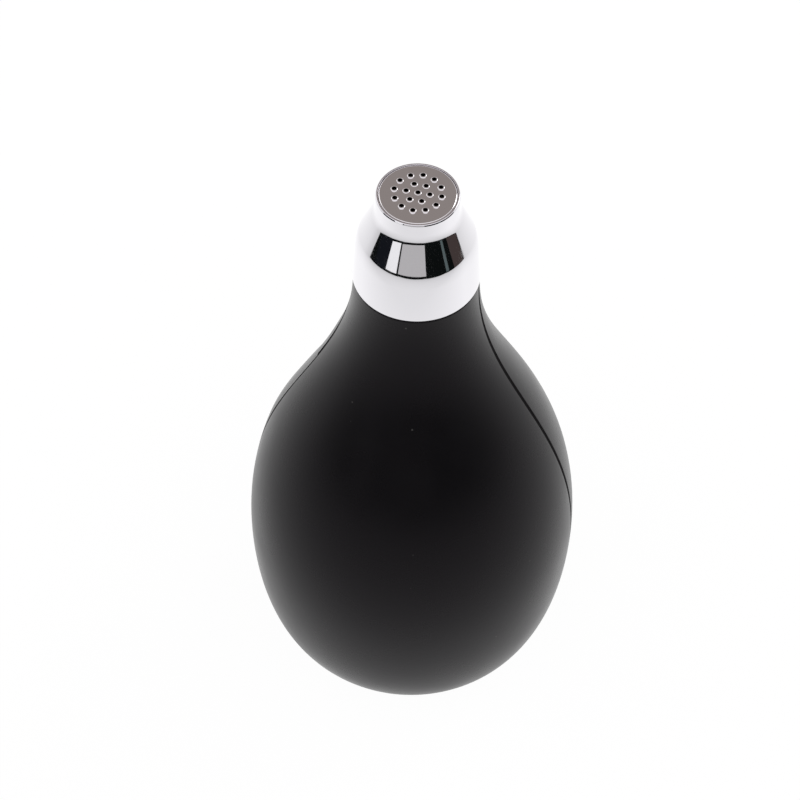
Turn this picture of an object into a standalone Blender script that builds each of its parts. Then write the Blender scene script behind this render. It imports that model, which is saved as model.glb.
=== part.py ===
"""Dust blower: a squeezable rubber bulb with a screwed metal head and a perforated rose.

Metres, +Z up. The origin is at the centre of the base, on the bulb's axis.
The mould seam lies in the XZ plane, so the wall that a thumb presses faces -Y
and the wall that the fingers press faces +Y.
"""
import bmesh
import bpy
import math
from mathutils import Vector

MM = 0.001
GAP = 0.3 * MM              # air left between pieces that would touch

# Rubber bulb
BELLY_RADIUS = 33.0 * MM
BELLY_HEIGHT = 30.8 * MM
NECK_RADIUS = 11.4 * MM     # just under the head
HEAD_BASE = 107.0 * MM      # height of the head's lower edge
BASE_RADIUS = 22.2 * MM     # flat ring that the bulb stands on
WALL = 2.6 * MM
BASE_THICKNESS = 3.2 * MM
NECK_PULL = 29.2 * MM       # how far the neck stays straight before it flares
BELLY_PULL_UP = 37.1 * MM   # fullness of the belly above its widest place
BELLY_PULL_DOWN = 15.9 * MM
BASE_PULL = 7.3 * MM        # fullness of the turn into the base

# Spout of the bulb inside the head
SPOUT_RADIUS = 9.4 * MM
SPOUT_BORE = 7.4 * MM
SPOUT_TOP = HEAD_BASE + 3.5 * MM

# Flexing walls, one at the front and one at the back
WALL_DEPTH = 13.0 * MM      # distance of their edge from the seam plane
WALL_BOTTOM = 11.0 * MM
WALL_TOP = 84.0 * MM

# Threaded bush in the spout
BUSH_BORE = 5.2 * MM
BUSH_BOTTOM = HEAD_BASE - 7.0 * MM
COLLAR_RADIUS = 9.5 * MM
COLLAR_TOP = HEAD_BASE + 8.9 * MM
COLLAR_CUP = 7.9 * MM
THREAD_PITCH = 3.0 * MM
THREAD_BEAD = 0.5 * MM      # radius of the rounded thread
MALE_THREAD_RADIUS = 9.6 * MM
FEMALE_THREAD_RADIUS = 10.25 * MM
THREAD_TURNS = 1.0
MALE_THREAD_START = HEAD_BASE + 5.2 * MM
FEMALE_THREAD_START = MALE_THREAD_START - THREAD_PITCH / 2

# Chromed head
BAND_RADIUS = 11.56 * MM
BAND_TOP_RADIUS = 11.1 * MM
BAND_TOP = HEAD_BASE + 9.5 * MM
SHOULDER_RADIUS = 10.4 * MM
SHOULDER_HEIGHT = HEAD_BASE + 10.4 * MM
CONE_TOP_RADIUS = 7.75 * MM
CONE_TOP = HEAD_BASE + 15.9 * MM
BARREL_RADIUS = 7.5 * MM
RIM_RADIUS = 7.37 * MM
RIM_TOP = HEAD_BASE + 20.6 * MM
HEAD_BORE = 10.35 * MM
LEDGE_HEIGHT = HEAD_BASE + 10.3 * MM
LEDGE_RADIUS = 8.7 * MM
CONE_BORE = 6.3 * MM
ROSE_SEAT = HEAD_BASE + 19.3 * MM
ROSE_POCKET = 7.05 * MM

# Perforated rose
ROSE_RADIUS = ROSE_POCKET - GAP
ROSE_TOP = HEAD_BASE + 20.9 * MM
ROSE_FLAT = 5.95 * MM        # radius of its flat middle
ROSE_CROWN = 0.65 * MM       # drop of its rounded border
HOLE_RADIUS = 0.42 * MM
HOLE_PITCH = 2.09 * MM      # ring spacing: 1 + 6 + 12 holes
HOLE_TURN = -2.4            # degrees that the pattern is turned on the head

# Gasket between collar and head
GASKET_OUTER = 10.0 * MM
GASKET_INNER = 7.9 * MM
GASKET_BOTTOM = COLLAR_TOP + GAP
GASKET_TOP = LEDGE_HEIGHT - GAP

# Inlet valve in the base
RECESS_RADIUS = 9.0 * MM
RECESS_DEPTH = 1.2 * MM
STEM_RADIUS = 5.0 * MM
STEM_TOP = 4.9 * MM
INLET_RADIUS = 2.0 * MM
SEAT_FLANGE = 8.6 * MM
CAGE_RADIUS = 6.4 * MM
CAGE_FLANGE = 8.4 * MM
CAGE_TOP = 8.6 * MM
CAGE_ROOF = 0.8 * MM
PORT_RADIUS = 0.9 * MM
PORT_COUNT = 6
DISC_RADIUS = 4.6 * MM
DISC_THICKNESS = 0.8 * MM

SEGMENTS = 48


def clear_scene():
    for obj in list(bpy.data.objects):
        bpy.data.objects.remove(obj, do_unlink=True)


def new_collection(name):
    collection = bpy.data.collections.new(name)
    bpy.context.scene.collection.children.link(collection)
    return collection


def material(name, colour, roughness, metallic=0.0):
    mat = bpy.data.materials.new(name)
    mat.use_nodes = True
    shader = mat.node_tree.nodes["Principled BSDF"]
    shader.inputs["Base Color"].default_value = (*colour, 1.0)
    shader.inputs["Roughness"].default_value = roughness
    shader.inputs["Metallic"].default_value = metallic
    return mat


def bezier(start, pull, pull_end, end, steps):
    """Points of a cubic curve in the (radius, height) half plane, both ends included."""
    a, b, c, d = (Vector(p) for p in (start, pull, pull_end, end))
    points = []
    for i in range(steps + 1):
        t = i / steps
        s = 1.0 - t
        points.append(tuple(a * s**3 + b * 3 * s * s * t + c * 3 * s * t * t + d * t**3))
    return points


def arc(centre, radius, start_deg, end_deg, steps):
    points = []
    for i in range(steps + 1):
        angle = math.radians(start_deg + (end_deg - start_deg) * i / steps)
        points.append((centre[0] + radius * math.cos(angle), centre[1] + radius * math.sin(angle)))
    return points


def turned(name, outline, segments=SEGMENTS, closed=True):
    """A turned solid: the outline runs down its outer side, then up its bore."""
    mesh = bpy.data.meshes.new(name)
    verts = [(r, 0.0, z) for r, z in outline]
    edges = [(i, i + 1) for i in range(len(verts) - 1)]
    if closed:
        edges.append((len(verts) - 1, 0))
    mesh.from_pydata(verts, edges, [])
    obj = bpy.data.objects.new(name, mesh)
    screw = obj.modifiers.new("Turn", "SCREW")
    screw.axis = "Z"
    screw.steps = segments
    screw.render_steps = segments
    screw.use_merge_vertices = True
    screw.merge_threshold = 0.00001
    screw.use_smooth_shade = True
    return obj


def cylinder(name, radius, bottom, top, segments=24, axis_point=(0.0, 0.0)):
    bm = bmesh.new()
    bmesh.ops.create_cone(bm, cap_ends=True, segments=segments, radius1=radius,
                          radius2=radius, depth=top - bottom)
    mesh = bpy.data.meshes.new(name)
    bm.to_mesh(mesh)
    bm.free()
    obj = bpy.data.objects.new(name, mesh)
    obj.location = (*axis_point, (bottom + top) / 2)
    return obj


def box(name, low, high):
    bm = bmesh.new()
    bmesh.ops.create_cube(bm, size=1.0)
    size = [b - a for a, b in zip(low, high)]
    bmesh.ops.scale(bm, vec=size, verts=bm.verts)
    mesh = bpy.data.meshes.new(name)
    bm.to_mesh(mesh)
    bm.free()
    obj = bpy.data.objects.new(name, mesh)
    obj.location = [(a + b) / 2 for a, b in zip(low, high)]
    return obj


def helix(name, radius, bottom):
    """A rounded thread as a closed tube, with a point every 12 degrees."""
    curve = bpy.data.curves.new(name, "CURVE")
    curve.dimensions = "3D"
    curve.bevel_depth = THREAD_BEAD
    curve.bevel_resolution = 2
    curve.use_fill_caps = True
    count = round(THREAD_TURNS * 30) + 1
    spline = curve.splines.new("POLY")
    spline.points.add(count - 1)
    for i, point in enumerate(spline.points):
        turn = THREAD_TURNS * i / (count - 1)
        angle = 2 * math.pi * turn
        height = bottom + THREAD_PITCH * turn
        point.co = (radius * math.cos(angle), radius * math.sin(angle), height, 1.0)
    return meshed(bpy.data.objects.new(name, curve))


def meshed(obj):
    """The curve as a mesh object with its caps welded."""
    name = obj.name
    bpy.context.scene.collection.objects.link(obj)
    depsgraph = bpy.context.evaluated_depsgraph_get()
    mesh = bpy.data.meshes.new_from_object(obj.evaluated_get(depsgraph))
    bm = bmesh.new()
    bm.from_mesh(mesh)
    bmesh.ops.remove_doubles(bm, verts=bm.verts, dist=0.00001)
    bmesh.ops.recalc_face_normals(bm, faces=bm.faces)
    bm.to_mesh(mesh)
    bm.free()
    matrix = obj.matrix_world.copy()
    bpy.data.objects.remove(obj, do_unlink=True)
    solid = bpy.data.objects.new(name, mesh)
    solid.matrix_world = matrix
    return solid


class Builder:
    """Files the parts in one collection and their cutters in another."""

    def __init__(self):
        self.parts = new_collection("dust_blower_bulb")
        self.cutters = new_collection("cutters")

    def part(self, obj, mat, parent=None):
        self.parts.objects.link(obj)
        obj.data.materials.append(mat)
        if parent:
            obj.parent = parent
        return obj

    def tool(self, obj):
        self.cutters.objects.link(obj)
        obj.hide_render = True
        obj.display_type = "WIRE"
        return obj

    def combine(self, target, tool, operation="DIFFERENCE"):
        if tool.name not in self.cutters.objects:
            self.tool(tool)
        modifier = target.modifiers.new(operation.title(), "BOOLEAN")
        modifier.operation = operation
        modifier.solver = "EXACT"
        modifier.object = tool
        return target

    def pivot(self, name, height):
        """An empty on the bulb's axis that a moving piece turns or slides with."""
        empty = bpy.data.objects.new(name, None)
        empty.empty_display_size = 0.01
        empty.location = (0.0, 0.0, height)
        self.parts.objects.link(empty)
        return empty


def bulb_outline():
    """Closed outline of the hollow bulb, with the spout, the base and the valve hole."""
    outer = [(SPOUT_RADIUS, SPOUT_TOP), (SPOUT_RADIUS, HEAD_BASE - GAP)]
    outer += bezier((NECK_RADIUS, HEAD_BASE - GAP), (NECK_RADIUS, HEAD_BASE - NECK_PULL),
                    (BELLY_RADIUS, BELLY_HEIGHT + BELLY_PULL_UP),
                    (BELLY_RADIUS, BELLY_HEIGHT), 15)
    outer += bezier((BELLY_RADIUS, BELLY_HEIGHT), (BELLY_RADIUS, BELLY_HEIGHT - BELLY_PULL_DOWN),
                    (BASE_RADIUS + BASE_PULL, 0.0), (BASE_RADIUS, 0.0), 8)[1:]
    recess = [(RECESS_RADIUS, 0.0), (RECESS_RADIUS, RECESS_DEPTH),
              (STEM_RADIUS + GAP, RECESS_DEPTH), (STEM_RADIUS + GAP, BASE_THICKNESS)]
    belly = BELLY_RADIUS - WALL
    floor_radius = BASE_RADIUS - WALL
    inner = bezier((floor_radius, BASE_THICKNESS), (floor_radius + BASE_PULL, BASE_THICKNESS),
                   (belly, BELLY_HEIGHT - BELLY_PULL_DOWN + WALL / 2), (belly, BELLY_HEIGHT), 5)
    inner += bezier((belly, BELLY_HEIGHT), (belly, BELLY_HEIGHT + BELLY_PULL_UP - WALL / 2),
                    (SPOUT_BORE, HEAD_BASE - NECK_PULL), (SPOUT_BORE, BUSH_BOTTOM - GAP), 10)[1:]
    inner.append((SPOUT_BORE, SPOUT_TOP))
    return outer + recess + inner


def window(name, side, margin):
    """Block that takes one flexing wall out of the bulb; side is -1 at the front."""
    near = side * (WALL_DEPTH - margin)
    far = side * (BELLY_RADIUS + 5 * MM)
    wide = BELLY_RADIUS + 5 * MM
    return box(name, (-wide, min(near, far), WALL_BOTTOM - margin),
               (wide, max(near, far), WALL_TOP + margin))


def make_bulb(build, rubber):
    body = build.part(turned("bulb_body", bulb_outline()), rubber)
    for side, place in ((-1, "front"), (1, "rear")):
        build.combine(body, window(place + "_window", side, GAP))
        wall = build.part(turned("bulb_" + place + "_wall", bulb_outline()), rubber)
        build.combine(wall, window(place + "_wall_block", side, 0.0), "INTERSECT")


def barbed_stem():
    """Outer side of the bush below its collar: three barbs that grip the spout."""
    crest = SPOUT_BORE - GAP
    root = crest - 0.6 * MM
    top = SPOUT_TOP + GAP
    length = (top - BUSH_BOTTOM - 1 * MM) / 3
    points = [(root, top)]
    for i in range(3):
        upper = top - 1 * MM - i * length
        points += [(root, upper), (crest, upper)]
    points.append((root, BUSH_BOTTOM))
    return points


def make_bush(build, brass):
    outline = [(COLLAR_CUP, COLLAR_TOP), (COLLAR_RADIUS, COLLAR_TOP),
               (COLLAR_RADIUS, SPOUT_TOP + GAP)]
    outline += barbed_stem()
    outline += [(BUSH_BORE, BUSH_BOTTOM), (BUSH_BORE, SPOUT_TOP + 1.8 * MM),
                (COLLAR_CUP, SPOUT_TOP + 3.0 * MM)]
    bush = build.part(turned("neck_bush", outline), brass)
    thread = helix("male_thread", MALE_THREAD_RADIUS, MALE_THREAD_START)
    build.combine(bush, thread, "UNION")


def head_outline():
    skirt = [(BARREL_RADIUS, CONE_TOP + 0.9 * MM), (CONE_TOP_RADIUS, CONE_TOP)]
    shoulder = bezier((SHOULDER_RADIUS, SHOULDER_HEIGHT), (BAND_TOP_RADIUS, SHOULDER_HEIGHT),
                      (BAND_TOP_RADIUS, BAND_TOP + 0.3 * MM), (BAND_TOP_RADIUS, BAND_TOP), 5)
    rim = arc((RIM_RADIUS - 0.3 * MM, RIM_TOP - 0.3 * MM), 0.3 * MM, 90, 0, 4)
    edge = 0.3 * MM
    band = [(BAND_RADIUS, HEAD_BASE + edge), (BAND_RADIUS - edge, HEAD_BASE)]
    bore = [(HEAD_BORE, HEAD_BASE), (HEAD_BORE, LEDGE_HEIGHT), (LEDGE_RADIUS, LEDGE_HEIGHT),
            (CONE_BORE, CONE_TOP), (CONE_BORE, ROSE_SEAT), (ROSE_POCKET, ROSE_SEAT),
            (ROSE_POCKET, RIM_TOP)]
    return rim + skirt + shoulder + band + bore


def make_head(build, chrome, pivot):
    shell = build.part(turned("head_shell", head_outline()), chrome)
    thread = helix("female_thread", FEMALE_THREAD_RADIUS, FEMALE_THREAD_START)
    build.combine(shell, thread, "UNION")
    attach(shell, pivot)


def attach(obj, pivot):
    """Parents the piece to its pivot and keeps it where it was modelled."""
    obj.parent = pivot
    obj.location = obj.location - pivot.location


def hole_places():
    """One hole in the middle, then rings of 6 and 12."""
    places = [(0.0, 0.0)]
    for ring in (1, 2):
        for i in range(6 * ring):
            angle = math.radians(HOLE_TURN + 360.0 * i / (6 * ring))
            places.append((ring * HOLE_PITCH * math.cos(angle), ring * HOLE_PITCH * math.sin(angle)))
    return places


def drill(name, place):
    """A drill bit standing in the rose at the given place."""
    top = ROSE_TOP + 0.5 * MM
    bottom = ROSE_SEAT - 0.5 * MM
    outline = [(0.0, top), (HOLE_RADIUS, top), (HOLE_RADIUS, bottom), (0.0, bottom)]
    bit = turned(name, outline, segments=12, closed=False)
    bit.location = (place[0], place[1], 0.0)
    return bit


def make_rose(build, steel, pivot):
    bottom = ROSE_SEAT + GAP
    border = bezier((ROSE_FLAT, ROSE_TOP), (ROSE_RADIUS - 0.3 * MM, ROSE_TOP),
                    (ROSE_RADIUS, ROSE_TOP - 0.3 * MM), (ROSE_RADIUS, ROSE_TOP - ROSE_CROWN), 4)
    outline = [(0.0, ROSE_TOP)] + border + [(ROSE_RADIUS, bottom), (0.0, bottom)]
    rose = build.part(turned("rose_plate", outline, closed=False), steel)
    for i, place in enumerate(hole_places()):
        build.combine(rose, drill("drill_%02d" % i, place))
    attach(rose, pivot)


def make_gasket(build, rubber, pivot):
    gasket = build.part(turned("head_gasket", [(GASKET_INNER, GASKET_TOP),
                                               (GASKET_OUTER, GASKET_TOP),
                                               (GASKET_OUTER, GASKET_BOTTOM),
                                               (GASKET_INNER, GASKET_BOTTOM)]), rubber)
    attach(gasket, pivot)


def make_valve_seat(build, brass):
    flange_top = RECESS_DEPTH - GAP
    lip = 0.8 * MM
    turned_seat = turned("valve_seat", [
        (STEM_RADIUS - lip, STEM_TOP), (STEM_RADIUS, STEM_TOP - lip), (STEM_RADIUS, flange_top),
        (SEAT_FLANGE, flange_top), (SEAT_FLANGE, GAP), (INLET_RADIUS + 1 * MM, GAP),
        (INLET_RADIUS, GAP + 1 * MM), (INLET_RADIUS, STEM_TOP)])
    build.part(turned_seat, brass)


def make_valve_cage(build, nylon):
    foot = BASE_THICKNESS + GAP
    foot_top = foot + 0.8 * MM
    ceiling = CAGE_TOP - CAGE_ROOF
    bore = STEM_RADIUS + GAP
    cage = build.part(turned("valve_cage", [
        (0.0, CAGE_TOP), (CAGE_RADIUS - CAGE_ROOF, CAGE_TOP), (CAGE_RADIUS, ceiling),
        (CAGE_RADIUS, foot_top), (CAGE_FLANGE, foot_top), (CAGE_FLANGE, foot), (bore, foot),
        (bore, ceiling), (0.0, ceiling)], closed=False), nylon)
    middle = (STEM_TOP + ceiling) / 2 + 0.2 * MM
    for i in range(PORT_COUNT // 2):
        port = cylinder("cage_port_%d" % i, PORT_RADIUS, -CAGE_RADIUS - 1 * MM,
                        CAGE_RADIUS + 1 * MM, segments=16)
        port.location = (0.0, 0.0, middle)
        port.rotation_euler = (math.pi / 2, 0.0, math.pi * i / (PORT_COUNT // 2))
        build.combine(cage, port)


def make_valve_disc(build, rubber):
    bottom = STEM_TOP + GAP
    pivot = build.pivot("valve_pivot", bottom)
    top = bottom + DISC_THICKNESS
    disc = build.part(turned("valve_disc", [(0.0, top), (DISC_RADIUS, top),
                                            (DISC_RADIUS, bottom), (0.0, bottom)],
                             segments=32, closed=False), rubber)
    attach(disc, pivot)


def shade_round(build):
    for obj in build.parts.objects:
        if obj.type == "MESH":
            obj.data.shade_smooth()
            obj.data.set_sharp_from_angle(angle=math.radians(30))


def main():
    clear_scene()
    build = Builder()
    rubber = material("black_rubber", (0.02, 0.02, 0.022), 0.65)
    chrome = material("chrome", (0.78, 0.78, 0.8), 0.08, 1.0)
    steel = material("satin_steel", (0.45, 0.43, 0.42), 0.3, 1.0)
    brass = material("nickel_brass", (0.66, 0.6, 0.45), 0.3, 1.0)
    fibre = material("red_fibre", (0.35, 0.06, 0.04), 0.7)
    nylon = material("white_nylon", (0.8, 0.79, 0.75), 0.45)
    head_pivot = build.pivot("head_pivot", HEAD_BASE)
    make_bulb(build, rubber)
    make_bush(build, brass)
    make_gasket(build, fibre, head_pivot)
    make_head(build, chrome, head_pivot)
    make_rose(build, steel, head_pivot)
    make_valve_seat(build, brass)
    make_valve_cage(build, nylon)
    make_valve_disc(build, rubber)
    shade_round(build)


main()
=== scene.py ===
"""Dust blower bulb in a white studio: a matt rubber bulb with a chromed, perforated head."""
import bpy
import math
from mathutils import Matrix, Vector


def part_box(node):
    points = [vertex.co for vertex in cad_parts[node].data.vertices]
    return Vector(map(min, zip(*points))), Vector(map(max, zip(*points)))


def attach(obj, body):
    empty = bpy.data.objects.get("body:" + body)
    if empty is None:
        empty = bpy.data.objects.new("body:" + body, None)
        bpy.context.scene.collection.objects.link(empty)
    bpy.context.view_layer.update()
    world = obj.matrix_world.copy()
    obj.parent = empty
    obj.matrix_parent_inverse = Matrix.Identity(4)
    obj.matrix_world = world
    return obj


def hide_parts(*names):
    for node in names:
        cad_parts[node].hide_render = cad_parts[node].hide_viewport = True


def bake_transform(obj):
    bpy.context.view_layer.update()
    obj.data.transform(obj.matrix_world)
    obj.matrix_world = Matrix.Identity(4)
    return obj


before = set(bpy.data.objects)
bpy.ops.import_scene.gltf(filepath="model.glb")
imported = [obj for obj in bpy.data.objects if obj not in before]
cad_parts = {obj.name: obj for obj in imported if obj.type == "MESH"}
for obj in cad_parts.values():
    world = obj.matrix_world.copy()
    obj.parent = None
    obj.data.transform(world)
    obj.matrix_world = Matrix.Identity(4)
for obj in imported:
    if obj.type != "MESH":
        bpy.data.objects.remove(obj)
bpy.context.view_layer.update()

MM = 0.001
head_low, head_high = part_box("head_shell")
bulb_low, bulb_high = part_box("bulb_body")
HEAD_BASE = head_low.z
BAND_RADIUS = head_high.x
BELLY_RADIUS = bulb_high.x
SPOUT_TOP = bulb_high.z
RIM_TOP = head_high.z
ROSE_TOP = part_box("rose_plate")[1].z

# Rubber bulb
BELLY_HEIGHT = 30.8 * MM
BELLY_RISE = 37.1 * MM          # handles of the curves that run up and down from the belly
BELLY_DROP = 15.9 * MM
NECK_RADIUS = 11.4 * MM
NECK_DROP = 29.2 * MM           # handle of the flare below the neck
NECK_TOP = HEAD_BASE - 0.3 * MM
BASE_RADIUS = 22.2 * MM
BASE_SPREAD = 7.3 * MM          # handle of the curve that runs out from the base
WALL = 2.6 * MM
INNER_RISE = 35.8 * MM          # the same handles on the inner surface
INNER_DROP = 14.6 * MM
INNER_NECK = HEAD_BASE - 7.3 * MM   # height where the flare meets the spout's bore
BASE_THICKNESS = 3.2 * MM
SPOUT_RADIUS = 9.4 * MM
SPOUT_BORE = 7.4 * MM
RECESS_RADIUS = 9.0 * MM
RECESS_DEPTH = 1.2 * MM
VALVE_HOLE = 5.3 * MM
RUBBER_EDGE = 0.25 * MM         # rounding of the moulding's small edges
SEAM_ROUND = 0.52 * MM          # rounding of each half's edge along the mould seam

# Soft flat on the left of the rear half's flare
FLAT_HEIGHT = HEAD_BASE - 38 * MM
FLAT_TURN = 42.0                # degrees behind the left seam
FLAT_DEPTH = 1.15 * MM
FLAT_REACH = 19 * MM            # distance over which it runs out
FLAT_CORE = 3 * MM              # half height of its evenly pressed middle
FLAT_CORE_TURN = 0.16           # and half its width, in radians

# Chromed head
SHOULDER_RADIUS = 10.72 * MM    # where the lines of cone and band would meet
SHOULDER_TOP = HEAD_BASE + 9.74 * MM
SHOULDER_START = HEAD_BASE + 10.9 * MM
SHOULDER_END = HEAD_BASE + 7.9 * MM
SHOULDER_END_RADIUS = 10.94 * MM
CONE_TOP = HEAD_BASE + 15.9 * MM
BARREL_FOOT = CONE_TOP + 0.9 * MM   # where the lines of cone and barrel would meet
BARREL_RADIUS = 7.5 * MM
HOLLOW_LOW = CONE_TOP - 0.2 * MM    # ends of the hollow curve between cone and barrel
HOLLOW_HIGH = CONE_TOP + 2.0 * MM
RIM_RADIUS = 7.37 * MM
HEAD_BORE = 10.35 * MM
LEDGE_RADIUS = 8.7 * MM
LEDGE_HEIGHT = HEAD_BASE + 10.3 * MM
CONE_BORE = 6.3 * MM
ROSE_SEAT = HEAD_BASE + 19.3 * MM
ROSE_RADIUS = 6.85 * MM
ROSE_DOME_RADIUS = 6.45 * MM
ROSE_DOME = 0.28 * MM           # rise of the plate in its middle
ROSE_DOME_STEPS = 16
ROSE_EDGE = 0.3 * MM
ROSE_PLAY = 0.06 * MM
ROSE_LIFT = 0.05 * MM           # clearance under the plate
LIP_ROUND = 0.2 * MM
LIP_SLOPE = 24.0                # degrees of the narrow chamfer under the rim
LIP_CHAMFER = 0.2 * MM
LIP_INSIDE = 0.06 * MM
LIP_HEIGHT = 0.8 * MM
THREAD_PITCH = 3.0 * MM
THREAD_BEAD = 0.5 * MM
THREAD_RADIUS = 10.25 * MM
THREAD_START = HEAD_BASE + 3.7 * MM

# Rose holes: one in the middle and rings of 6 and 12
HOLE_RADIUS = 0.42 * MM
BURR_RADIUS = 0.62 * MM         # foot of the raised burr round each hole
BURR_TOP = 0.47 * MM
BURR_HEIGHT = 0.1 * MM
BURR_ROOT = 0.3 * MM            # depth of its root inside the plate
HOLE_STEPS = 28
HOLE_PITCH = 2.09 * MM
HOLE_TURN = -2.4                # degrees that the pattern is turned on the head

# Reflected panels, standing on the floor
CARD_DISTANCE = 500 * MM
PANEL_FOOT = 30 * MM
PANEL_TOP = 155 * MM
RAIL_TOP = 167 * MM
GREY = (0.53, 0.52, 0.52)
BLACK = (0.004, 0.005, 0.005)
BROWN = (0.06, 0.045, 0.042)
TEAL = (0.10, 0.13, 0.13)
INK = (0.008, 0.009, 0.012)
WHITE = (1.0, 1.0, 1.0)

# Studio
FLOOR_RADIUS = 3.0
FLOOR_GLOW = 0.96               # as the camera sees it
ROOM_COLOUR = (1.08, 1.06, 1.10, 1.0)
CEILING_COLOUR = (0.31, 0.275, 0.265, 1.0)
CEILING_ELEVATION = 62.0
SOFTBOX_SIDE = 125.0            # degrees to either side of the camera
SOFTBOX_ELEVATION = 30.0
SOFTBOX_DISTANCE = 1.2
SOFTBOX_SIZE = 0.5
SOFTBOX_AIM = 0.06              # height that the softboxes point at

# Camera
CAMERA_AZIMUTH = 9.0
CAMERA_ELEVATION = 49.5
CAMERA_DISTANCE = 394.7 * MM
LENS = 99.0
SENSOR = 36.0
AIM_RIGHT = -0.36               # degrees from the head's foot to the middle of the view
AIM_DOWN = 3.34
CAMERA_ROLL = 1.15


def deselect():
    if bpy.context.object and bpy.context.object.mode != "OBJECT":
        bpy.ops.object.mode_set(mode="OBJECT")
    bpy.ops.object.select_all(action="DESELECT")


def curve_points(start, pull, pull_end, end, steps):
    """Points of a cubic curve in the (radius, height) half plane, both ends included."""
    a, b, c, d = (Vector(p) for p in (start, pull, pull_end, end))
    points = []
    for i in range(steps + 1):
        t = i / steps
        s = 1.0 - t
        points.append(tuple(a * s**3 + b * 3 * s * s * t + c * 3 * s * t * t + d * t**3))
    return points


def arc(centre, radius, start, end, steps):
    """Points of an arc, with its angles in degrees from the outward direction."""
    points = []
    for i in range(steps + 1):
        angle = math.radians(start + (end - start) * i / steps)
        points.append((centre[0] + radius * math.cos(angle), centre[1] + radius * math.sin(angle)))
    return points


def rounded(points, radius, steps=3):
    """The same outline with its inner corners rounded by short curves of about that radius."""
    result = [points[0]]
    for before, corner, after in zip(points, points[1:], points[2:]):
        corner_v = Vector(corner)
        cut_in = corner_v + (Vector(before) - corner_v).normalized() * radius
        cut_out = corner_v + (Vector(after) - corner_v).normalized() * radius
        for i in range(steps + 1):
            t = i / steps
            point = cut_in * (1 - t) ** 2 + corner_v * 2 * t * (1 - t) + cut_out * t * t
            result.append(tuple(point))
    result.append(points[-1])
    return result


def draw_outline(name, points, closed):
    """A chain of edges through the outline's points, extruded one after another."""
    deselect()
    first = points[0]
    bpy.ops.mesh.primitive_plane_add(size=2 * MM, location=(first[0], 0.0, first[1]))
    obj = bpy.context.object
    obj.name = name
    bpy.ops.object.transform_apply(location=True)
    bpy.ops.object.mode_set(mode="EDIT")
    bpy.ops.mesh.select_mode(type="VERT")
    bpy.ops.mesh.select_all(action="SELECT")
    bpy.ops.mesh.merge(type="CENTER")
    for a, b in zip(points, points[1:]):
        step = (b[0] - a[0], 0.0, b[1] - a[1])
        bpy.ops.mesh.extrude_region_move(TRANSFORM_OT_translate={"value": step})
    if closed:
        step = (first[0] - points[-1][0], 0.0, first[1] - points[-1][1])
        bpy.ops.mesh.extrude_region_move(TRANSFORM_OT_translate={"value": step})
    bpy.ops.mesh.select_all(action="SELECT")
    bpy.ops.mesh.remove_doubles(threshold=0.000001)
    return obj


def turn(name, points, steps=128, angle=360.0, closed=True):
    """Spins the outline round the bulb's axis and leaves the piece in object mode."""
    obj = draw_outline(name, points, closed)
    bpy.ops.mesh.select_all(action="SELECT")
    bpy.ops.mesh.spin(steps=steps, angle=math.radians(angle), center=(0, 0, 0), axis=(0, 0, 1))
    bpy.ops.mesh.select_all(action="SELECT")
    bpy.ops.mesh.remove_doubles(threshold=0.000002)
    if angle < 360.0:
        bpy.ops.mesh.fill_holes(sides=0)
    bpy.ops.mesh.select_all(action="SELECT")
    bpy.ops.mesh.normals_make_consistent(inside=False)
    bpy.ops.object.mode_set(mode="OBJECT")
    return obj


def smooth(obj, angle=35.0):
    deselect()
    obj.select_set(True)
    bpy.context.view_layer.objects.active = obj
    bpy.ops.object.shade_smooth_by_angle(angle=math.radians(angle))
    return obj


def apply_modifiers(obj):
    deselect()
    obj.select_set(True)
    bpy.context.view_layer.objects.active = obj
    for modifier in list(obj.modifiers):
        bpy.ops.object.modifier_apply(modifier=modifier.name)


def make_visible(obj, mat):
    obj.data.materials.clear()
    obj.data.materials.append(mat)
    return obj


# ---------------------------------------------------------------- rubber bulb

def bulb_outline():
    """Section of the rubber wall: spout, neck, belly, base, and back up inside."""
    edge = RUBBER_EDGE
    outer = rounded([(SPOUT_BORE, SPOUT_TOP), (SPOUT_RADIUS, SPOUT_TOP),
                     (SPOUT_RADIUS, NECK_TOP), (NECK_RADIUS, NECK_TOP),
                     (NECK_RADIUS, NECK_TOP - 2 * edge)], edge)[1:]
    flare = curve_points((NECK_RADIUS, NECK_TOP), (NECK_RADIUS, HEAD_BASE - NECK_DROP),
                         (BELLY_RADIUS, BELLY_HEIGHT + BELLY_RISE),
                         (BELLY_RADIUS, BELLY_HEIGHT), 64)
    outer += [p for p in flare if p[1] < NECK_TOP - 3 * edge]
    outer += curve_points((BELLY_RADIUS, BELLY_HEIGHT), (BELLY_RADIUS, BELLY_HEIGHT - BELLY_DROP),
                          (BASE_RADIUS + BASE_SPREAD, 0.0), (BASE_RADIUS, 0.0), 30)[1:]
    recess = rounded([(BASE_RADIUS - 1 * MM, 0.0), (RECESS_RADIUS, 0.0),
                      (RECESS_RADIUS, RECESS_DEPTH), (VALVE_HOLE, RECESS_DEPTH),
                      (VALVE_HOLE, BASE_THICKNESS)], edge)
    belly = BELLY_RADIUS - WALL
    floor_radius = BASE_RADIUS - WALL
    inner = curve_points((floor_radius, BASE_THICKNESS),
                         (floor_radius + BASE_SPREAD, BASE_THICKNESS),
                         (belly, BELLY_HEIGHT - INNER_DROP), (belly, BELLY_HEIGHT), 14)
    inner += inner_flare()[1:]
    return outer + recess + inner + [(SPOUT_BORE, SPOUT_TOP)]


def inner_flare():
    """Inner surface of the rubber from the belly up to the spout's bore."""
    belly = BELLY_RADIUS - WALL
    return curve_points((belly, BELLY_HEIGHT), (belly, BELLY_HEIGHT + INNER_RISE),
                        (SPOUT_BORE, HEAD_BASE - NECK_DROP), (SPOUT_BORE, INNER_NECK), 28)


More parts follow.
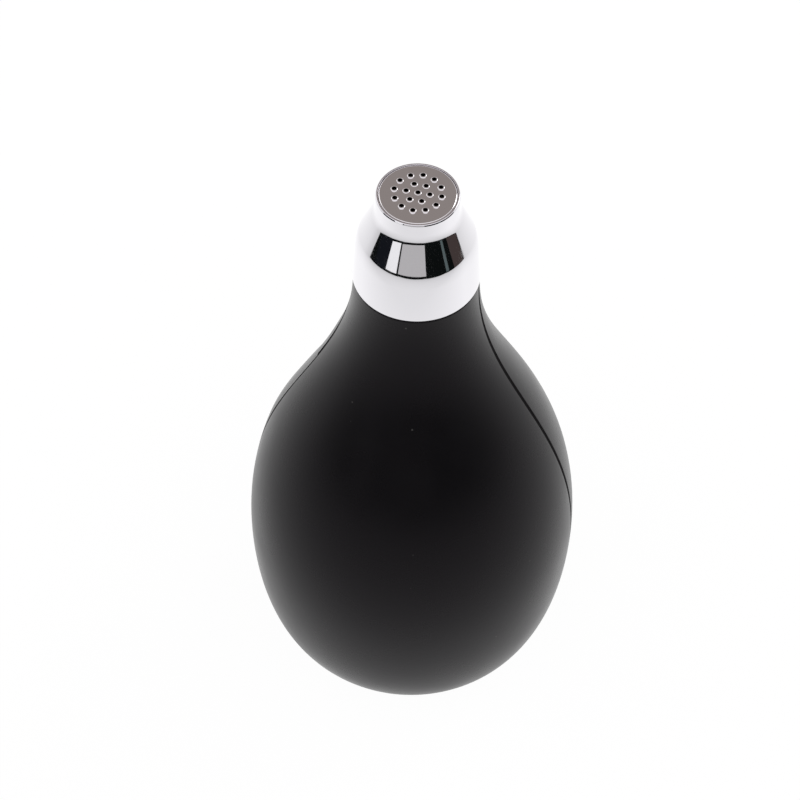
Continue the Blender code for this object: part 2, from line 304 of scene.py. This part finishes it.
def deselect_vertices():
    """Clears the selection inside the active mesh and leaves it in object mode."""
    bpy.ops.object.mode_set(mode="EDIT")
    bpy.ops.mesh.select_mode(type="VERT")
    bpy.ops.mesh.select_all(action="DESELECT")
    bpy.ops.object.mode_set(mode="OBJECT")


def round_seam_edges(obj):
    """Rounds the outer edge of the half along the seam plane, so that two halves leave a groove."""
    bpy.context.view_layer.objects.active = obj
    deselect_vertices()
    mesh = obj.data
    on_seam = [abs(v.co.y) < 1e-6 for v in mesh.vertices]
    for edge in mesh.edges:
        a, b = edge.vertices
        middle = (mesh.vertices[a].co + mesh.vertices[b].co) / 2
        edge.select = on_seam[a] and on_seam[b] and is_outside(middle)
    bpy.ops.object.mode_set(mode="EDIT")
    bpy.ops.mesh.select_mode(type="EDGE")
    bpy.ops.mesh.bevel(offset=SEAM_ROUND, segments=3, affect="EDGES", clamp_overlap=True)
    bpy.ops.object.mode_set(mode="OBJECT")


def is_outside(point):
    """True on the outer surface of the bulb from the neck's foot down to the base."""
    radius = math.hypot(point.x, point.y)
    below_neck = point.z < NECK_TOP - 0.9 * MM
    on_base = point.z < 0.05 * MM and radius > RECESS_RADIUS + 0.5 * MM
    return below_neck and (on_base or radius > inner_radius(point.z) + WALL / 2)


def inner_radius(height):
    """Radius of the bulb's inner surface at a height, read from its outline."""
    upper = inner_flare()
    if height < BELLY_HEIGHT:
        return BASE_RADIUS - WALL * 1.5
    if height > upper[-1][1]:
        return SPOUT_BORE
    for (r0, z0), (r1, z1) in zip(upper, upper[1:]):
        if z0 <= height <= z1:
            return r0 + (r1 - r0) * (height - z0) / (z1 - z0)
    return BELLY_RADIUS - WALL


def flatten_flare(half):
    """Presses the rear half's flare in softly; the rounded edge along the seam stays in place."""
    direction = math.radians(180.0 - FLAT_TURN)
    deselect_vertices()
    for vertex in half.data.vertices:
        vertex.select = vertex.co.y < SEAM_ROUND + 0.1 * MM
    bpy.ops.object.mode_set(mode="EDIT")
    bpy.ops.mesh.hide(unselected=False)
    bpy.ops.object.mode_set(mode="OBJECT")
    for vertex in half.data.vertices:
        turn_away = abs(math.atan2(vertex.co.y, vertex.co.x) - direction)
        vertex.select = abs(vertex.co.z - FLAT_HEIGHT) < FLAT_CORE and turn_away < FLAT_CORE_TURN
    bpy.ops.object.mode_set(mode="EDIT")
    bpy.ops.transform.translate(value=(-FLAT_DEPTH * math.cos(direction),
                                       -FLAT_DEPTH * math.sin(direction), 0.0),
                                use_proportional_edit=True, proportional_edit_falloff="SMOOTH",
                                proportional_size=FLAT_REACH)
    bpy.ops.mesh.reveal(select=False)
    bpy.ops.object.mode_set(mode="OBJECT")


def make_bulb_half(name, side, nodes, rubber):
    """One moulded half of the bulb; side is -1 at the front. The rear half gets a soft pressed-in
    flat on its flare.
    """
    half = turn(name, bulb_outline(), steps=96, angle=180.0)
    round_seam_edges(half)
    if side > 0:
        bpy.ops.object.mode_set(mode="EDIT")
        bpy.ops.mesh.select_all(action="SELECT")
        bpy.ops.transform.rotate(value=math.pi, orient_axis="Z", center_override=(0, 0, 0))
        bpy.ops.object.mode_set(mode="OBJECT")
        flatten_flare(half)
    smooth(half, 40.0)
    make_visible(half, rubber)
    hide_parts(*nodes)
    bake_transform(half)


# ---------------------------------------------------------------- chromed head

def head_outline():
    """Section of the head: lip, barrel, cone, shoulder, band and the bore."""
    pocket = ROSE_RADIUS + ROSE_PLAY
    slope = math.radians(LIP_SLOPE)
    drop = LIP_CHAMFER * math.cos(slope)
    widen = LIP_CHAMFER * math.sin(slope)
    centre = (RIM_RADIUS - LIP_ROUND - widen, RIM_TOP - LIP_ROUND)
    outer_lip = arc(centre, LIP_ROUND, 88, LIP_SLOPE, 7)
    outer_lip += arc((centre[0] + widen, centre[1] - drop), LIP_ROUND, LIP_SLOPE, 0, 4)
    inner_lip = arc((pocket + LIP_INSIDE, RIM_TOP - LIP_INSIDE), LIP_INSIDE, 180, 100, 3)
    start = (SHOULDER_RADIUS - cone_slope() * (SHOULDER_START - SHOULDER_TOP), SHOULDER_START)
    corner = (SHOULDER_RADIUS, SHOULDER_TOP)
    end = (SHOULDER_END_RADIUS, SHOULDER_END)
    upper = rounded([(RIM_RADIUS, RIM_TOP - LIP_HEIGHT), (BARREL_RADIUS, BARREL_FOOT), start],
                    0.22 * MM, 4)
    shoulder = curve_points(start, part_way(start, corner), part_way(end, corner), end, 14)
    band = rounded([end, (BAND_RADIUS, HEAD_BASE), (BAND_RADIUS - 0.5 * MM, HEAD_BASE)],
                   0.2 * MM, 5)
    side = soften_cone_top(upper)[:-1] + shoulder + band[1:]
    bore = [(HEAD_BORE, HEAD_BASE), (HEAD_BORE, LEDGE_HEIGHT), (LEDGE_RADIUS, LEDGE_HEIGHT),
            (CONE_BORE, CONE_TOP), (CONE_BORE, ROSE_SEAT), (pocket, ROSE_SEAT)]
    return outer_lip + side[1:] + bore + inner_lip


def part_way(start, end):
    """Handle of a cubic curve that bends like one with a single corner."""
    return tuple(start[k] + (end[k] - start[k]) * 2 / 3 for k in (0, 1))


def cone_slope():
    """Gain in radius for each metre down the cone."""
    return (SHOULDER_RADIUS - BARREL_RADIUS) / (BARREL_FOOT - SHOULDER_TOP)


def soften_cone_top(side):
    """Replaces the sharp turn between barrel and cone by a wider hollow curve."""
    above = [p for p in side if p[1] >= HOLLOW_HIGH]
    below = [p for p in side if p[1] <= HOLLOW_LOW]
    start = (BARREL_RADIUS - 0.05 * MM, HOLLOW_HIGH)
    end = (BARREL_RADIUS + cone_slope() * (BARREL_FOOT - HOLLOW_LOW), HOLLOW_LOW)
    corner = (BARREL_RADIUS, BARREL_FOOT)
    pull = tuple(corner[k] * 0.75 + start[k] * 0.25 for k in (0, 1))
    pull_end = tuple(corner[k] * 0.75 + end[k] * 0.25 for k in (0, 1))
    return above + curve_points(start, pull, pull_end, end, 12) + below


def make_head(chrome):
    shell = smooth(turn("head_shell_chromed", head_outline(), steps=160), 28.0)
    make_visible(shell, chrome)
    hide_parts("head_shell")
    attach(shell, "head")


def make_head_thread(chrome):
    """The rounded screw thread on the inside of the band, one turn long."""
    deselect()
    bpy.ops.mesh.primitive_circle_add(vertices=12, radius=THREAD_BEAD,
                                      location=(THREAD_RADIUS, 0, THREAD_START),
                                      rotation=(math.pi / 2, 0, 0), fill_type="NGON")
    thread = bpy.context.object
    thread.name = "head_thread"
    bpy.ops.object.transform_apply(location=True, rotation=True)
    screw = thread.modifiers.new("Thread", "SCREW")
    screw.screw_offset = THREAD_PITCH
    screw.steps = 72
    screw.render_steps = 72
    screw.merge_threshold = 0.000001
    apply_modifiers(thread)
    bpy.ops.object.mode_set(mode="EDIT")
    bpy.ops.mesh.select_all(action="SELECT")
    bpy.ops.mesh.fill_holes(sides=0)
    bpy.ops.mesh.select_all(action="SELECT")
    bpy.ops.mesh.normals_make_consistent(inside=False)
    bpy.ops.object.mode_set(mode="OBJECT")
    smooth(thread)
    make_visible(thread, chrome)
    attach(thread, "head")


def hole_places():
    """The middle hole, then a ring of six and a ring of twelve."""
    places = [(0.0, 0.0)]
    for ring in (1, 2):
        count = 6 * ring
        radius = ring * HOLE_PITCH
        for i in range(count):
            angle = math.radians(HOLE_TURN + 360.0 * i / count)
            places.append((radius * math.cos(angle), radius * math.sin(angle)))
    return places


def copies_at_holes(piece):
    """Copies a piece to every hole of the pattern and joins them; each copy has its own mesh."""
    group = [piece]
    for x, y in hole_places()[1:]:
        copy = piece.copy()
        copy.data = piece.data.copy()
        copy.location = (x, y, 0.0)
        bpy.context.scene.collection.objects.link(copy)
        group.append(copy)
    deselect()
    for obj in group:
        obj.select_set(True)
    bpy.context.view_layer.objects.active = piece
    bpy.ops.object.join()
    return piece


def combine(plate, tool, operation):
    """Joins the tool to the plate or cuts it out, and removes the tool."""
    change = plate.modifiers.new("Combine", "BOOLEAN")
    change.operation = operation
    change.solver = "EXACT"
    change.object = tool
    apply_modifiers(plate)
    bpy.data.objects.remove(tool, do_unlink=True)


def make_rose(chrome):
    """Crowned plate with a raised burr round each punched hole."""
    top = ROSE_TOP
    bottom = ROSE_SEAT + ROSE_LIFT
    steps = ROSE_DOME_STEPS
    dome = [(ROSE_DOME_RADIUS * i / steps, top - ROSE_DOME * (i / steps) ** 2)
            for i in range(steps)]
    low = top - ROSE_DOME
    border = curve_points((ROSE_DOME_RADIUS, low), (ROSE_DOME_RADIUS + 0.2 * MM, low - 0.02 * MM),
                          (ROSE_RADIUS, low - ROSE_EDGE * 0.5), (ROSE_RADIUS, low - ROSE_EDGE), 8)
    plate = turn("rose_plate_punched", dome + border + [(ROSE_RADIUS, bottom), (0.0, bottom)],
                 128, closed=False)
    burr = turn("burr", [(0.0, top + BURR_HEIGHT), (BURR_TOP, top + BURR_HEIGHT),
                         (BURR_TOP + 0.06 * MM, top + BURR_HEIGHT * 0.85), (BURR_RADIUS, top),
                         (BURR_RADIUS, top - BURR_ROOT), (0.0, top - BURR_ROOT)],
                HOLE_STEPS, closed=False)
    combine(plate, copies_at_holes(burr), "UNION")
    drill = turn("drill", [(0.0, top + 1 * MM), (HOLE_RADIUS, top + 1 * MM),
                           (HOLE_RADIUS, bottom - 1 * MM), (0.0, bottom - 1 * MM)],
                 HOLE_STEPS, closed=False)
    combine(plate, copies_at_holes(drill), "DIFFERENCE")
    smooth(plate, 30.0)
    make_visible(plate, chrome)
    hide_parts("rose_plate")
    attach(plate, "head")


# ---------------------------------------------------------------- materials

def new_group(name, inputs, outputs):
    """An empty shader node group; each socket is (name, type, default or None)."""
    group = bpy.data.node_groups.new(name, "ShaderNodeTree")
    for label, kind, value in inputs:
        socket = group.interface.new_socket(label, in_out="INPUT", socket_type=kind)
        if value is not None:
            socket.default_value = value
    for label, kind in outputs:
        group.interface.new_socket(label, in_out="OUTPUT", socket_type=kind)
    start = group.nodes.new("NodeGroupInput")
    end = group.nodes.new("NodeGroupOutput")
    return group, start, end


class Nodes:
    """Short ways to add and join nodes in one tree."""

    def __init__(self, tree):
        self.tree = tree

    def add(self, kind, **settings):
        node = self.tree.nodes.new("ShaderNode" + kind)
        for key, value in settings.items():
            setattr(node, key, value)
        return node

    def join(self, output, target):
        self.tree.links.new(output, target)

    def spread(self, value, low, high, to_low, to_high):
        """Maps low..high to to_low..to_high, clamped."""
        node = self.add("MapRange")
        for label, number in zip(("From Min", "From Max", "To Min", "To Max"),
                                 (low, high, to_low, to_high)):
            node.inputs[label].default_value = number
        self.join(value, node.inputs["Value"])
        return node.outputs["Result"]

    def math(self, operation, a, b=None):
        node = self.add("Math", operation=operation)
        for socket, value in zip(node.inputs, (a, b)):
            if value is None:
                continue
            if isinstance(value, (int, float)):
                socket.default_value = value
            else:
                self.join(value, socket)
        return node.outputs[0]

    def mix(self, factor, a, b):
        node = self.add("Mix", data_type="RGBA")
        for socket, value in zip((node.inputs[0], node.inputs[6], node.inputs[7]), (factor, a, b)):
            if isinstance(value, tuple):
                socket.default_value = value
            else:
                self.join(value, socket)
        return node.outputs[2]


def dust_group():
    """Sparse pale specks lying on a surface, at the given size and amount."""
    group, start, end = new_group("dust_specks", [
        ("Vector", "NodeSocketVector", None), ("Scale", "NodeSocketFloat", 400.0),
        ("Amount", "NodeSocketFloat", 0.12)], [("Speck", "NodeSocketFloat")])
    n = Nodes(group)
    cells = n.add("TexVoronoi", feature="F1")
    n.join(start.outputs["Vector"], cells.inputs["Vector"])
    n.join(start.outputs["Scale"], cells.inputs["Scale"])
    near = n.spread(cells.outputs["Distance"], 0.03, 0.10, 1.0, 0.0)
    pick = n.add("SeparateColor")
    n.join(cells.outputs["Color"], pick.inputs[0])
    few = n.math("LESS_THAN", pick.outputs[0], start.outputs["Amount"])
    n.join(n.math("MULTIPLY", near, few), end.inputs["Speck"])
    return group


def grain_group():
    """Fine unevenness: a height for bumps and a slow mottling for roughness and colour."""
    group, start, end = new_group("fine_grain", [
        ("Vector", "NodeSocketVector", None), ("Grain Scale", "NodeSocketFloat", 1500.0),
        ("Mottle Scale", "NodeSocketFloat", 60.0)],
        [("Height", "NodeSocketFloat"), ("Mottle", "NodeSocketFloat")])
    n = Nodes(group)
    for label, output, detail in (("Grain Scale", "Height", 2.0), ("Mottle Scale", "Mottle", 4.0)):
        noise = n.add("TexNoise")
        noise.inputs["Detail"].default_value = detail
        n.join(start.outputs["Vector"], noise.inputs["Vector"])
        n.join(start.outputs[label], noise.inputs["Scale"])
        n.join(noise.outputs["Fac"], end.inputs[output])
    return group


GRAIN = grain_group()
DUST = dust_group()


def new_material(name, colour, roughness, metallic=0.0):
    mat = bpy.data.materials.new(name)
    mat.use_nodes = True
    n = Nodes(mat.node_tree)
    shader = mat.node_tree.nodes["Principled BSDF"]
    shader.inputs["Base Color"].default_value = (*colour, 1.0)
    shader.inputs["Roughness"].default_value = roughness
    shader.inputs["Metallic"].default_value = metallic
    place = n.add("TexCoord").outputs["Object"]
    return mat, n, shader, place


def use_grain(n, place, grain_scale, mottle_scale):
    grain = n.add("Group", node_tree=GRAIN)
    grain.inputs["Grain Scale"].default_value = grain_scale
    grain.inputs["Mottle Scale"].default_value = mottle_scale
    n.join(place, grain.inputs["Vector"])
    return grain.outputs["Height"], grain.outputs["Mottle"]


def use_dust(n, place, scale, amount):
    dust = n.add("Group", node_tree=DUST)
    dust.inputs["Scale"].default_value = scale
    dust.inputs["Amount"].default_value = amount
    n.join(place, dust.inputs["Vector"])
    return dust.outputs["Speck"]


def bump(n, height, strength, distance, shader):
    node = n.add("Bump")
    node.inputs["Strength"].default_value = strength
    node.inputs["Distance"].default_value = distance
    n.join(height, node.inputs["Height"])
    n.join(node.outputs["Normal"], shader.inputs["Normal"])


def rubber_material():
    """Black moulded rubber: dull, finely grained, with stray dust and painted shade that darkens
    the seam groove.
    """
    mat, n, shader, place = new_material("black_rubber_moulded", (0.003, 0.003, 0.0033), 0.4)
    shader.inputs["Specular IOR Level"].default_value = 0.12
    shader.inputs["Specular Tint"].default_value = (1.0, 0.88, 0.98, 1.0)
    height, mottle = use_grain(n, place, 1600.0, 70.0)
    speck = use_dust(n, place, 420.0, 0.10)
    axes = n.add("SeparateXYZ")
    n.join(place, axes.inputs[0])
    # Painted shade: the base colour goes nearly black along the seam groove, where shade falls; the
    # same mask also raises the roughness there.
    painted_seam_shade = n.spread(n.math("ABSOLUTE", axes.outputs["Y"]), 0.42 * MM, 0.56 * MM, 1.0, 0.0)
    base = n.mix(mottle, (0.0016, 0.0016, 0.0019, 1.0), (0.003, 0.003, 0.0034, 1.0))
    dusty = n.mix(speck, base, (0.06, 0.058, 0.056, 1.0))
    n.join(n.mix(painted_seam_shade, dusty, (0.001, 0.001, 0.001, 1.0)), shader.inputs["Base Color"])
    rough = n.spread(mottle, 0.3, 0.7, 0.25, 0.31)
    n.join(n.math("MAXIMUM", rough, painted_seam_shade), shader.inputs["Roughness"])
    bump(n, height, 0.25, 0.03 * MM, shader)
    return mat


def chrome_material(name, colour, waviness, roughness):
    """Chromium plate: nearly a mirror, with slow waves of the polishing and faint smears."""
    mat, n, shader, place = new_material(name, colour, roughness, 1.0)
    height, mottle = use_grain(n, place, 90.0, 260.0)
    smear = n.spread(mottle, 0.45, 0.75, roughness, roughness + 0.05)
    n.join(smear, shader.inputs["Roughness"])
    bump(n, height, 1.0, waviness, shader)
    return mat


def turned_metal(name, colour):
    """Turned brass: fine rings left by the lathe, and slightly uneven nickel over it."""
    mat, n, shader, place = new_material(name, colour, 0.3, 1.0)
    rings = n.add("TexWave", wave_type="BANDS", bands_direction="Z")
    rings.inputs["Scale"].default_value = 1200.0
    rings.inputs["Distortion"].default_value = 0.4
    n.join(place, rings.inputs["Vector"])
    height, mottle = use_grain(n, place, 900.0, 140.0)
    warm = tuple(c * 0.82 for c in colour)
    n.join(n.mix(mottle, (*warm, 1.0), (*colour, 1.0)), shader.inputs["Base Color"])
    n.join(n.spread(rings.outputs["Fac"], 0.0, 1.0, 0.24, 0.38), shader.inputs["Roughness"])
    bump(n, rings.outputs["Fac"], 0.3, 0.01 * MM, shader)
    return mat


def dull_material(name, colour, roughness, grain_scale=1200.0):
    """Moulded or pressed stuff without gloss: nylon, fibre, soft rubber."""
    mat, n, shader, place = new_material(name, colour, roughness)
    height, mottle = use_grain(n, place, grain_scale, 160.0)
    darker = tuple(c * 0.78 for c in colour)
    n.join(n.mix(mottle, (*darker, 1.0), (*colour, 1.0)), shader.inputs["Base Color"])
    n.join(n.spread(mottle, 0.3, 0.7, roughness - 0.06, roughness + 0.06),
           shader.inputs["Roughness"])
    bump(n, height, 0.35, 0.04 * MM, shader)
    return mat


def finish_inner_nodes():
    """Gives the pieces that stay as the CAD has them their finishes."""
    metal = turned_metal("nickelled_brass", (0.66, 0.6, 0.45))
    fibre = dull_material("red_fibre_sheet", (0.35, 0.06, 0.04), 0.72, 2400.0)
    nylon = dull_material("white_nylon_moulded", (0.8, 0.79, 0.75), 0.45)
    soft = dull_material("black_rubber_sheet", (0.02, 0.02, 0.022), 0.6)
    finishes = {"neck_bush": metal, "valve_seat": metal, "head_gasket": fibre,
                "valve_cage": nylon, "valve_disc": soft}
    for name, mat in finishes.items():
        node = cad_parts[name]
        for slot in node.material_slots:
            slot.material = mat


# ---------------------------------------------------------------- studio

def toward(azimuth, elevation):
    """Unit vector from the object towards a place round it; azimuth 0 is the -Y side."""
    a, e = math.radians(azimuth), math.radians(elevation)
    return Vector((math.sin(a) * math.cos(e), -math.cos(a) * math.cos(e), math.sin(e)))


def make_camera():
    foot = Vector((0.0, 0.0, HEAD_BASE))
    back = toward(CAMERA_AZIMUTH, CAMERA_ELEVATION)
    data = bpy.data.cameras.new("camera")
    data.lens = LENS
    data.sensor_width = SENSOR
    data.clip_start = 0.01
    data.clip_end = 20.0
    camera = bpy.data.objects.new("camera", data)
    bpy.context.scene.collection.objects.link(camera)
    camera.location = foot + back * CAMERA_DISTANCE
    camera.rotation_euler = (-back).to_track_quat("-Z", "Y").to_euler()
    turned = camera.rotation_euler.to_matrix()
    turns = (((1, 0, 0), -AIM_DOWN), ((0, 1, 0), -AIM_RIGHT), ((0, 0, 1), CAMERA_ROLL))
    for axis, angle in turns:
        turned = turned @ Matrix.Rotation(math.radians(angle), 3, Vector(axis))
    camera.rotation_euler = turned.to_euler()
    bpy.context.scene.camera = camera


def glow_material(name, colour, strength, reflect=0.0):
    mat = bpy.data.materials.new(name)
    mat.use_nodes = True
    shader = mat.node_tree.nodes["Principled BSDF"]
    shader.inputs["Base Color"].default_value = (reflect, reflect, reflect, 1.0)
    shader.inputs["Roughness"].default_value = 1.0
    shader.inputs["Specular IOR Level"].default_value = 0.0
    shader.inputs["Emission Color"].default_value = (*colour, 1.0)
    shader.inputs["Emission Strength"].default_value = strength
    return mat


def floor_material():
    """White to the camera; what the object mirrors of it carries painted light and shade: brightest
    round the object and dimming away from it, with painted shade on the front side, towards the
    camera.
    """
    mat = glow_material("white_floor", WHITE, 1.0, 0.06)
    n = Nodes(mat.node_tree)
    shader = mat.node_tree.nodes["Principled BSDF"]
    place = n.add("TexCoord").outputs["Object"]
    distance = n.add("VectorMath", operation="LENGTH")
    n.join(place, distance.inputs[0])
    axes = n.add("SeparateXYZ")
    n.join(place, axes.inputs[0])
    # Painted light: in reflections the floor's glow is brightest near the object and dims away from
    # it.
    painted_light_pool = n.spread(distance.outputs["Value"], 0.14, 0.5, 1.0, 0.74)
    # Painted shade: in reflections the floor's glow is dimmer on the front side, towards the
    # camera, and a little brighter behind.
    painted_front_shade = n.spread(axes.outputs["Y"], -0.13, 0.02, 0.87, 1.05)
    painted_floor_light = n.math("MULTIPLY", painted_light_pool, painted_front_shade)
    ray = n.add("LightPath").outputs["Is Camera Ray"]
    seen = n.math("MULTIPLY", ray, FLOOR_GLOW)
    unseen = n.math("MULTIPLY", n.math("SUBTRACT", 1.0, ray), painted_floor_light)
    n.join(n.math("ADD", seen, unseen), shader.inputs["Emission Strength"])
    return mat


def make_floor():
    deselect()
    bpy.ops.mesh.primitive_circle_add(vertices=96, radius=FLOOR_RADIUS, fill_type="NGON")
    floor = bpy.context.object
    floor.name = "studio_floor"
    floor.data.materials.append(floor_material())


def make_card(name, azimuth, width, colour, low, high):
    """A flat card standing round the object, seen only in its reflections; width in degrees."""
    turned = azimuth + CAMERA_AZIMUTH
    middle = toward(turned, 0.0) * CARD_DISTANCE
    deselect()
    bpy.ops.mesh.primitive_plane_add(size=1.0, location=(middle.x, middle.y, (low + high) / 2),
                                     rotation=(math.pi / 2, 0, math.radians(turned)))
    card = bpy.context.object
    card.name = name
    card.scale = (2 * CARD_DISTANCE * math.tan(math.radians(width / 2)), high - low, 1.0)
    card.data.materials.append(glow_material(name + "_face", colour, 1.0))
    card.visible_camera = False
    card.visible_shadow = False


def make_cards():
    """Panels round the object that the chrome mirrors, between a dark skirting and a dark rail."""
    strips = [("grey_panel", -30, 16, GREY, 72 * MM), ("black_panel", 16, 50, BLACK, PANEL_FOOT),
              ("pale_strip", 50, 55, TEAL, PANEL_FOOT), ("black_edge", 55, 65, BLACK, PANEL_FOOT),
              ("brown_panel", 65, 93, BROWN, 6 * MM), ("black_line", -33, -30, BLACK, PANEL_FOOT),
              ("white_panel", -52, -33, WHITE, 64 * MM),
              ("dark_screen", -86, -52, INK, PANEL_FOOT)]
    for name, start, end, colour, foot in strips:
        middle, width = (start + end) / 2, end - start
        make_card(name, middle, width, colour, low=foot, high=PANEL_TOP)
        make_card(name + "_skirting", middle, width, BLACK, low=0.0, high=foot)
        make_card(name + "_rail", middle, width, BLACK, low=PANEL_TOP, high=RAIL_TOP)


def make_world():
    """White all round; reflections also see a dim ceiling above and behind the object."""
    world = bpy.data.worlds.new("studio")
    bpy.context.scene.world = world
    world.use_nodes = True
    tree = world.node_tree
    n = Nodes(tree)
    tree.nodes.clear()
    ray = n.add("LightPath").outputs["Is Camera Ray"]
    direction = n.add("TexCoord").outputs["Generated"]
    nearness = n.add("VectorMath", operation="DOT_PRODUCT")
    n.join(direction, nearness.inputs[0])
    nearness.inputs[1].default_value = toward(CAMERA_AZIMUTH + 180.0, CEILING_ELEVATION)
    ceiling = n.spread(nearness.outputs["Value"], 0.62, 0.70, 0.0, 1.0)
    room = n.mix(ceiling, ROOM_COLOUR, CEILING_COLOUR)
    colour = n.mix(ray, room, (*WHITE, 1.0))
    background = n.add("Background")
    n.join(colour, background.inputs["Color"])
    output = n.add("OutputWorld")
    n.join(background.outputs[0], output.inputs["Surface"])


def make_softbox(name, azimuth, power):
    data = bpy.data.lights.new(name, "AREA")
    data.shape = "SQUARE"
    data.size = SOFTBOX_SIZE
    data.energy = power
    lamp = bpy.data.objects.new(name, data)
    place = toward(azimuth + CAMERA_AZIMUTH, SOFTBOX_ELEVATION)
    lamp.location = place * SOFTBOX_DISTANCE + Vector((0, 0, SOFTBOX_AIM))
    lamp.rotation_euler = place.to_track_quat("Z", "Y").to_euler()
    bpy.context.scene.collection.objects.link(lamp)


def main():
    make_camera()
    rubber = rubber_material()
    chrome = chrome_material("chromium_plate", (0.80, 0.79, 0.82), 0.012 * MM, 0.03)
    rose_chrome = chrome_material("chromium_plate_rose", (0.78, 0.765, 0.77), 0.02 * MM, 0.05)
    make_bulb_half("bulb_front_half", -1, ["bulb_body", "bulb_front_wall"], rubber)
    make_bulb_half("bulb_rear_half", 1, ["bulb_rear_wall"], rubber)
    make_head(chrome)
    make_head_thread(chrome)
    make_rose(rose_chrome)
    finish_inner_nodes()
    make_floor()
    make_cards()
    make_world()
    make_softbox("softbox_right", SOFTBOX_SIDE, power=2.0)
    make_softbox("softbox_left", -SOFTBOX_SIDE, power=0.5)
    bpy.context.scene.view_settings.view_transform = "Standard"


main()
